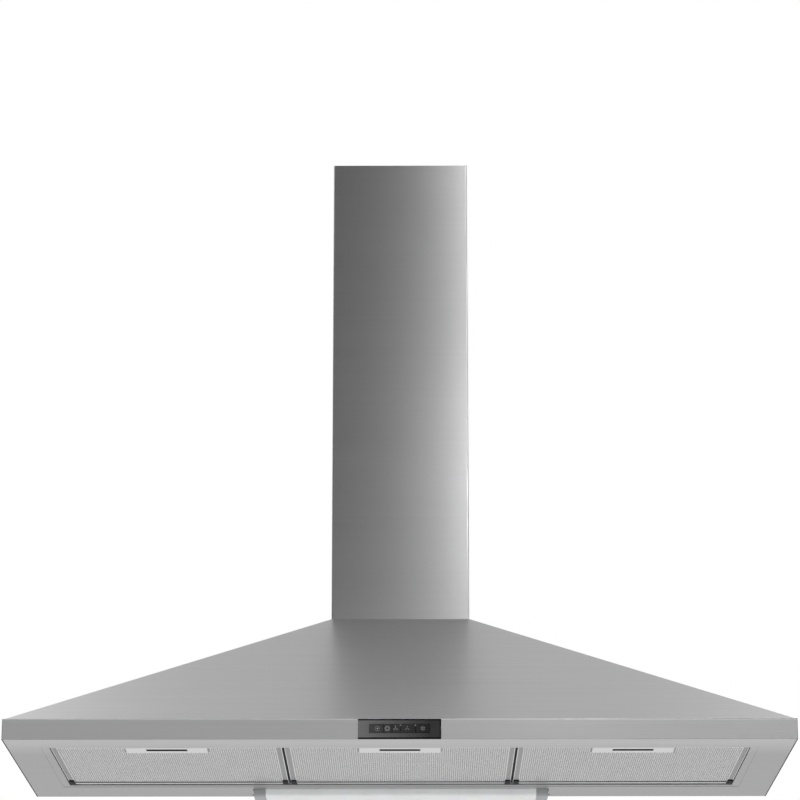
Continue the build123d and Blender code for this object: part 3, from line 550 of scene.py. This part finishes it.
# ---- Control panel and buttons ----
# A glossy black bezel fills the fascia's height, with five satin key caps in one strip. A painted shadow
# darkens the bezel's rim at the top, bottom and right, and a painted reflection in the base colour of
# bezel and keys fades to the right. Two clear light guides come through to the front.

def glossy(name, colour, roughness):
    """Polished plastic with faint smears in its gloss."""
    material, shader = new_finish(name, colour, 0.0, roughness)
    smear = grain(material, (1, 1, 1), 60.0, 4.0, 0.6)
    link(material, between(material, smear, roughness * 0.7, roughness * 1.5), shader.inputs["Roughness"])
    speck = grain(material, (1, 1, 1), 2500.0)
    tint(material, speck, tuple(tone * 0.8 for tone in colour), colour)
    return material, shader


panel_low, panel_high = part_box("control_panel")
rim_shadow_width = 0.0021
reflection_faded_end = 0.018


def fading_reflection(material, strong, weak):
    """A painted reflection that fades from the panel's left end and stays weak over its dark right end."""
    return between(material, axes(material)["X"], strong, weak, panel_low.x, panel_high.x - reflection_faded_end)


bezel_black, bezel_shader = glossy("polished_bezel_black", (0.26, 0.26, 0.265), 0.12)
bezel_reflection_weak, key_reflection_weak = 0.02, 0.08
rim_specular, face_specular = 0.02, 0.25
# A painted shadow: the rim at the top, bottom and right is black in the base colour and has a low specular
# level.
face_x = inside(bezel_black, axes(bezel_black)["X"], panel_low.x - rim_shadow_width, panel_high.x - rim_shadow_width)
face_z = inside(bezel_black, axes(bezel_black)["Z"], panel_low.z + rim_shadow_width, panel_high.z - rim_shadow_width)
face_inside_rim_shadow = shading_math(bezel_black, "MULTIPLY", face_x, face_z)
bezel_painted_reflection = fading_reflection(bezel_black, 1.0, bezel_reflection_weak)
shade(bezel_black, shading_math(bezel_black, "MULTIPLY", face_inside_rim_shadow, bezel_painted_reflection))
bezel_specular = between(bezel_black, face_inside_rim_shadow, rim_specular, face_specular, 0.0, 1.0)
link(bezel_black, bezel_specular, bezel_shader.inputs["Specular IOR Level"])
key_black = moulded("satin_key_black", (0.08, 0.08, 0.08), (0.11, 0.11, 0.11), 0.3, 2200.0, 0.00001)
# The key caps carry the same painted reflection, fading to the right.
shade(key_black, fading_reflection(key_black, 1.0, key_reflection_weak))
key_black.node_tree.nodes["Principled BSDF"].inputs["Specular IOR Level"].default_value = 0.25
guide_clear, guide_shader = glossy("clear_light_guide", (0.5, 0.51, 0.5), 0.15)
guide_shader.inputs["Transmission Weight"].default_value = 0.2
buttons = ("button_light", "button_off", "button_speed_1", "button_speed_2", "button_speed_3")
paint(bezel_black, "control_panel")
paint(key_black, *buttons)
paint(guide_clear, "indicator_lights")


# ---- Button icons ----
# Each key cap carries one icon printed in grey ink: a ring for the lamp, with a white dot, a ring for
# off, and a fan wheel for each of the three speeds.

icon_ink = new_finish("printed_icon_grey", (0.3, 0.3, 0.3), 0.0, 0.5)[0]
ink_grain = grain(icon_ink, (1, 1, 1), 3000.0)
tint(icon_ink, ink_grain, (0.2, 0.2, 0.2), (0.36, 0.36, 0.36))
dot_ink = new_finish("printed_icon_white", (0.85, 0.85, 0.85), 0.0, 0.45)[0]
tint(dot_ink, grain(dot_ink, (1, 1, 1), 3000.0), (0.75, 0.75, 0.75), (0.9, 0.9, 0.9))
ink_film = 0.00001
upright_turn = (math.pi / 2, 0, 0)
icon_radius = 0.0039
lamp_ring_inner = 0.0031
lamp_dot_radius = 0.001
lamp_dot_shift = 0.0002
off_ring_inner = 0.0017
blade_root = 0.55


def disc(x, z, radius, corners, wide=1.0, tall=1.0):
    """A flat disc or oval on the key caps' face."""
    deselect()
    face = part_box("button_light")[0].y
    bpy.ops.mesh.primitive_circle_add(vertices=corners, radius=radius, fill_type="NGON",
                                      location=(x, face, z), rotation=upright_turn)
    piece = bpy.context.active_object
    piece.scale = (wide, tall, 1)
    settle(piece)
    return piece


def ring(x, z, outer, inner):
    """A flat ring."""
    piece = disc(x, z, outer, 40)
    edit(piece)
    bpy.ops.mesh.inset(thickness=outer - inner)
    bpy.ops.mesh.delete(type="FACE")
    leave()
    return piece


def wheel(x, z, count, width, near, far):
    """Fan blades round a centre, the first one upright, each widest towards its tip."""
    piece = disc(x, z + (near + far) / 2, (far - near) / 2, 20, wide=width / (far - near))
    edit(piece)
    pick(piece, "VERT", lambda corner: corner.co.z < z + (near + far) / 2)
    bpy.ops.transform.resize(value=(blade_root, 1, 1), center_override=(x, 0, z))
    bpy.ops.mesh.select_all(action="SELECT")
    turn = 2 * math.pi / count
    bpy.ops.mesh.spin(steps=count - 1, dupli=True, angle=turn * (count - 1),
                      center=(x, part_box("button_light")[0].y, z), axis=(0, 1, 0))
    leave()
    return piece


def print_icon(piece, name, button, ink=icon_ink):
    """Gives an icon the ink's thickness and prints it on its key cap."""
    add_modifier(piece, "SOLIDIFY", thickness=ink_film, offset=1)
    finish_piece(piece, name, ink, button)


icon_shifts = (0.0016, -0.0006, -0.0012, -0.0014, 0.0002)
icon_middles = []
for button, shift in zip(buttons, icon_shifts):
    cap_low, cap_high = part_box(button)
    icon_middles.append((cap_low.x + cap_high.x) / 2 + shift)
cap_middle = (cap_low.z + cap_high.z) / 2
print_icon(ring(icon_middles[0], cap_middle, icon_radius, lamp_ring_inner),
           "icon_lamp_ring", "button_light")
print_icon(disc(icon_middles[0] + lamp_dot_shift, cap_middle, lamp_dot_radius, 24),
           "icon_lamp_dot", "button_light", dot_ink)
print_icon(ring(icon_middles[1], cap_middle, icon_radius, off_ring_inner), "icon_off_ring", "button_off")
fan_icons = (("icon_three_blades", "button_speed_1", 3, 0.0028, 0.0003),
             ("icon_three_arms", "button_speed_2", 3, 0.0014, 0.0),
             ("icon_six_blades", "button_speed_3", 6, 0.0017, 0.0005))
for middle_x, (name, button, blades, width, near) in zip(icon_middles[2:], fan_icons):
    print_icon(wheel(middle_x, cap_middle, blades, width, near, icon_radius), name, button)


# ---- Control box ----
# Behind the panel, a moulded black housing holds a green circuit board with one small switch for
# each button. The terminal box and its lid are moulded from the same black.

box_black = moulded("moulded_box_black", (0.012, 0.012, 0.013), (0.03, 0.03, 0.032), 0.55, 900.0)
board_green, board_shader = new_finish("lacquered_board_green", (0.02, 0.16, 0.06), 0.0, 0.3)
board_place = node(board_green, "ShaderNodeTexCoord")
board_tracks = node(board_green, "ShaderNodeTexBrick")
board_tracks.inputs["Scale"].default_value = 260.0
board_tracks.inputs["Mortar Size"].default_value = 0.08
board_tracks.inputs["Color1"].default_value = (0.015, 0.13, 0.05, 1)
board_tracks.inputs["Color2"].default_value = (0.03, 0.2, 0.08, 1)
board_tracks.inputs["Mortar"].default_value = (0.25, 0.2, 0.06, 1)
link(board_green, board_place.outputs["Object"], board_tracks.inputs["Vector"])
link(board_green, board_tracks.outputs["Color"], board_shader.inputs["Base Color"])
paint(box_black, "control_housing", "tactile_switches", "terminal_box", "terminal_lid")
paint(board_green, "control_board")


# ---- Light ----
# A long white cover with fine ribs, given a faint glow as painted light, swings down on its two grey end
# caps to reach the lamp, a frosted tube that lies in white holders inside the tray.

cover_white, cover_shader = new_finish("ribbed_cover_white", (0.9, 0.91, 0.91), 0.0, 0.35)
cover_cloud = grain(cover_white, (1, 1, 1), 35.0, 2.0)
tint(cover_white, cover_cloud, (0.86, 0.87, 0.87), (0.93, 0.94, 0.94))
link(cover_white, between(cover_white, grain(cover_white, (1, 1, 1), 2500.0), 0.28, 0.42),
     cover_shader.inputs["Roughness"])
# Painted light: the cover glows faintly, though the lamp under it is not lit.
cover_shader.inputs["Emission Color"].default_value = (1, 1, 1, 1)
cover_shader.inputs["Emission Strength"].default_value = 0.1
cover_shader.inputs["Subsurface Weight"].default_value = 0.15
cover_shader.inputs["Subsurface Scale"].default_value = 0.004

cover_low, cover_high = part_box("light_cover")
cover_wall = 0.0015
cover_bend = 0.005
rib_count = 14
rib_height = 0.0007
hair = 1e-5
deselect()
bpy.ops.mesh.primitive_cube_add(size=1, location=(cover_low + cover_high) / 2)
cover = bpy.context.active_object
cover.scale = cover_high - cover_low
settle(cover)
edit(cover)
pick(cover, "FACE", lambda face: abs(face.normal.x) > 0.9 or face.normal.z > 0.9)
bpy.ops.mesh.delete(type="FACE")
pick(cover, "EDGE", lambda edge: not edge.is_boundary)
bpy.ops.mesh.bevel(offset=cover_bend, segments=6)
pick(cover, "EDGE", lambda edge: all(abs(end.co.z - cover_low.z) < hair for end in edge.verts)
     and abs(edge.verts[0].co.x - edge.verts[1].co.x) < hair)
bpy.ops.mesh.subdivide(number_cuts=2 * rib_count - 1)
rib_start = cover_low.y + cover_bend
rib_step = (cover_high.y - cover_low.y - 2 * cover_bend) / (2 * rib_count)
pick(cover, "VERT", lambda corner: abs(corner.co.z - cover_low.z) < hair
     and round((corner.co.y - rib_start) / rib_step) % 2 == 1)
bpy.ops.transform.translate(value=(0, 0, rib_height))
leave()
add_modifier(cover, "SOLIDIFY", thickness=cover_wall, offset=-1)
finish_piece(cover, "ribbed_light_cover", cover_white, "light_lid")
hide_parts("light_cover")

cap_grey = moulded("moulded_cap_grey", (0.4, 0.41, 0.42), (0.5, 0.51, 0.52), 0.42)
lamp_glass = glossy("frosted_lamp_white", (0.9, 0.9, 0.88), 0.25)[0]
holder_white = moulded("moulded_holder_white", (0.72, 0.72, 0.7), (0.82, 0.82, 0.8), 0.4)
paint(cap_grey, "light_end_caps")
paint(lamp_glass, "lamp_tube")
paint(holder_white, "lamp_holders")


# ---- Blower ----
# Moulded grey scroll halves hold a cast motor on rubber bushes and a pale double wheel, with guards
# at both inlets and a white capacitor. The round collar above carries two flaps, and the cord's gland
# in the deck is rubber too.

scroll_grey = moulded("moulded_scroll_grey", (0.1, 0.1, 0.105), (0.17, 0.17, 0.175), 0.5, 700.0)
guard_grey = moulded("coated_guard_grey", (0.22, 0.22, 0.23), (0.3, 0.3, 0.31), 0.4)
wheel_white = moulded("moulded_wheel_white", (0.62, 0.62, 0.61), (0.74, 0.74, 0.73), 0.4)
cast_metal = new_finish("cast_motor_metal", (0.5, 0.51, 0.52), 0.9, 0.5)[0]
cast_grain = grain(cast_metal, (1, 1, 1), 500.0, 4.0)
tint(cast_metal, cast_grain, (0.36, 0.37, 0.38), (0.54, 0.55, 0.56))
relief(cast_metal, cast_grain, 0.0001, 0.6)
soft_rubber = moulded("soft_rubber_black", (0.012, 0.012, 0.012), (0.028, 0.028, 0.028), 0.75, 1200.0)
paint(scroll_grey, "scroll_halves", "outlet_collar", "damper_flap_left", "damper_flap_right")
paint(guard_grey, "inlet_guards")
paint(wheel_white, "impeller")
paint(cast_metal, "motor")
paint(soft_rubber, "motor_bushes", "cable_gland")
paint(holder_white, "run_capacitor")


# ---- Leads ----
# Two leads with grey soft plastic sheaths run from the terminal box, one to the controls and one to
# the lamp's gear.

lead_grey = moulded("sheathed_lead_grey", (0.48, 0.48, 0.47), (0.6, 0.6, 0.59), 0.45, 800.0)
paint(lead_grey, "inner_leads")


# ---- Stage, lights and camera ----
# A plain pale floor well below the hood, which glows and lights the underside, soft studio light, and
# the camera low in front. Four narrow lights at the end are aimed at the chimney and the fascia.

floor_radius = 80
floor_height = -4.5
floor_glow = 0.57
floor_tone, floor_shader = new_finish("pale_floor", (0.82, 0.82, 0.82), 0.0, 0.8)
floor_shader.inputs["Emission Color"].default_value = (1, 1, 1, 1)
floor_shader.inputs["Emission Strength"].default_value = floor_glow
deselect()
bpy.ops.mesh.primitive_circle_add(vertices=96, radius=floor_radius, fill_type="NGON",
                                  location=(0, 0, floor_height))
floor = bpy.context.active_object
floor.name = "floor"
floor.data.materials.append(floor_tone)

studio_fill = 0.07
world = bpy.data.worlds.new("studio")
bpy.context.scene.world = world
world.use_nodes = True
background = world.node_tree.nodes["Background"]
background.inputs["Color"].default_value = (1, 1, 1, 1)
background.inputs["Strength"].default_value = studio_fill
white = world.node_tree.nodes.new("ShaderNodeBackground")
white.inputs["Color"].default_value = (1, 1, 1, 1)
white.inputs["Strength"].default_value = 1.0
path = world.node_tree.nodes.new("ShaderNodeLightPath")
choose = world.node_tree.nodes.new("ShaderNodeMixShader")
output = world.node_tree.nodes["World Output"]
world.node_tree.links.new(path.outputs["Is Camera Ray"], choose.inputs["Fac"])
world.node_tree.links.new(background.outputs["Background"], choose.inputs[1])
world.node_tree.links.new(white.outputs["Background"], choose.inputs[2])
world.node_tree.links.new(choose.outputs["Shader"], output.inputs["Surface"])


def soft_light(name, place, aim, width, height, power, spread=180):
    """A soft light that the camera doesn't see; a narrow spread keeps it to what it is aimed at."""
    deselect()
    bpy.ops.object.light_add(type="AREA", location=place)
    light = bpy.context.active_object
    light.name = name
    light.data.shape = "RECTANGLE"
    light.data.size, light.data.size_y = width, height
    light.data.energy = power
    light.data.spread = math.radians(spread)
    light.rotation_euler = (Vector(aim) - Vector(place)).to_track_quat("-Z", "Y").to_euler()
    light.visible_camera = False


hood_middle = (0, -0.25, 0)
cover_middle = (0.1, -0.25, 0.75)
fascia_middle = (0, -0.5, 0.016)
soft_light("over_the_back", (0, 2.5, 2.5), (0, -0.25, 0.1), 4.0, 2.0, 33)
soft_light("low_behind", (0, 4.0, -0.9), hood_middle, 6.0, 1.2, 4)
soft_light("overhead", (0, 0, 3.0), hood_middle, 3.0, 2.0, 13)
soft_light("over_the_left", (-1.6, 0.3, 2.4), (-0.4, -0.3, 0.1), 1.5, 1.5, 7)
soft_light("over_the_right", (1.6, 0.3, 2.4), (0.4, -0.3, 0.1), 1.5, 1.5, 5)
soft_light("left_side", (-3.2, 1.0, 0.35), (0, 0.1, 0.35), 1.6, 1.6, 12)
soft_light("right_side", (3.2, 1.0, 0.35), (0, 0.1, 0.35), 1.6, 1.6, 12)
soft_light("behind", (0, 3.5, 0.7), (0, 0, 0.4), 3.0, 1.6, 20)
soft_light("high_left", (-2.6, -1.4, 2.9), (0, -0.3, 0.15), 1.5, 1.5, 14)
soft_light("high_right", (2.6, -1.4, 2.9), (0, -0.3, 0.15), 1.5, 1.5, 14)
soft_light("beside_the_cover", (0.28, -0.9, 1.0), cover_middle, 0.1, 1.2, 0.45, 60)
soft_light("beside_the_covers_foot", (0.28, -0.85, 0.55), (0.1, -0.25, 0.4), 0.12, 0.5, 0.09, 60)
soft_light("fascia_strip", (0, -1.2, 0.16), fascia_middle, 2.4, 0.12, 0.15, 60)
soft_light("right_fascia_strip", (0.75, -1.9, 0.25), (0.45, -0.5, 0.016), 1.2, 0.15, 0.06, 60)

camera_place = (0.028, -5.541, -0.965)
camera_tilt = 15.87
camera_turn = 0.31
deselect()
bpy.ops.object.camera_add(location=camera_place)
camera = bpy.context.active_object
camera.rotation_euler = (math.radians(90 + camera_tilt), 0, math.radians(camera_turn))
camera.data.lens = 152.83
camera.data.sensor_width = 36
camera.data.shift_y = 0.05
camera.data.clip_start = 0.1
camera.data.clip_end = 200
bpy.context.scene.camera = camera
bpy.context.scene.view_settings.view_transform = "Standard"
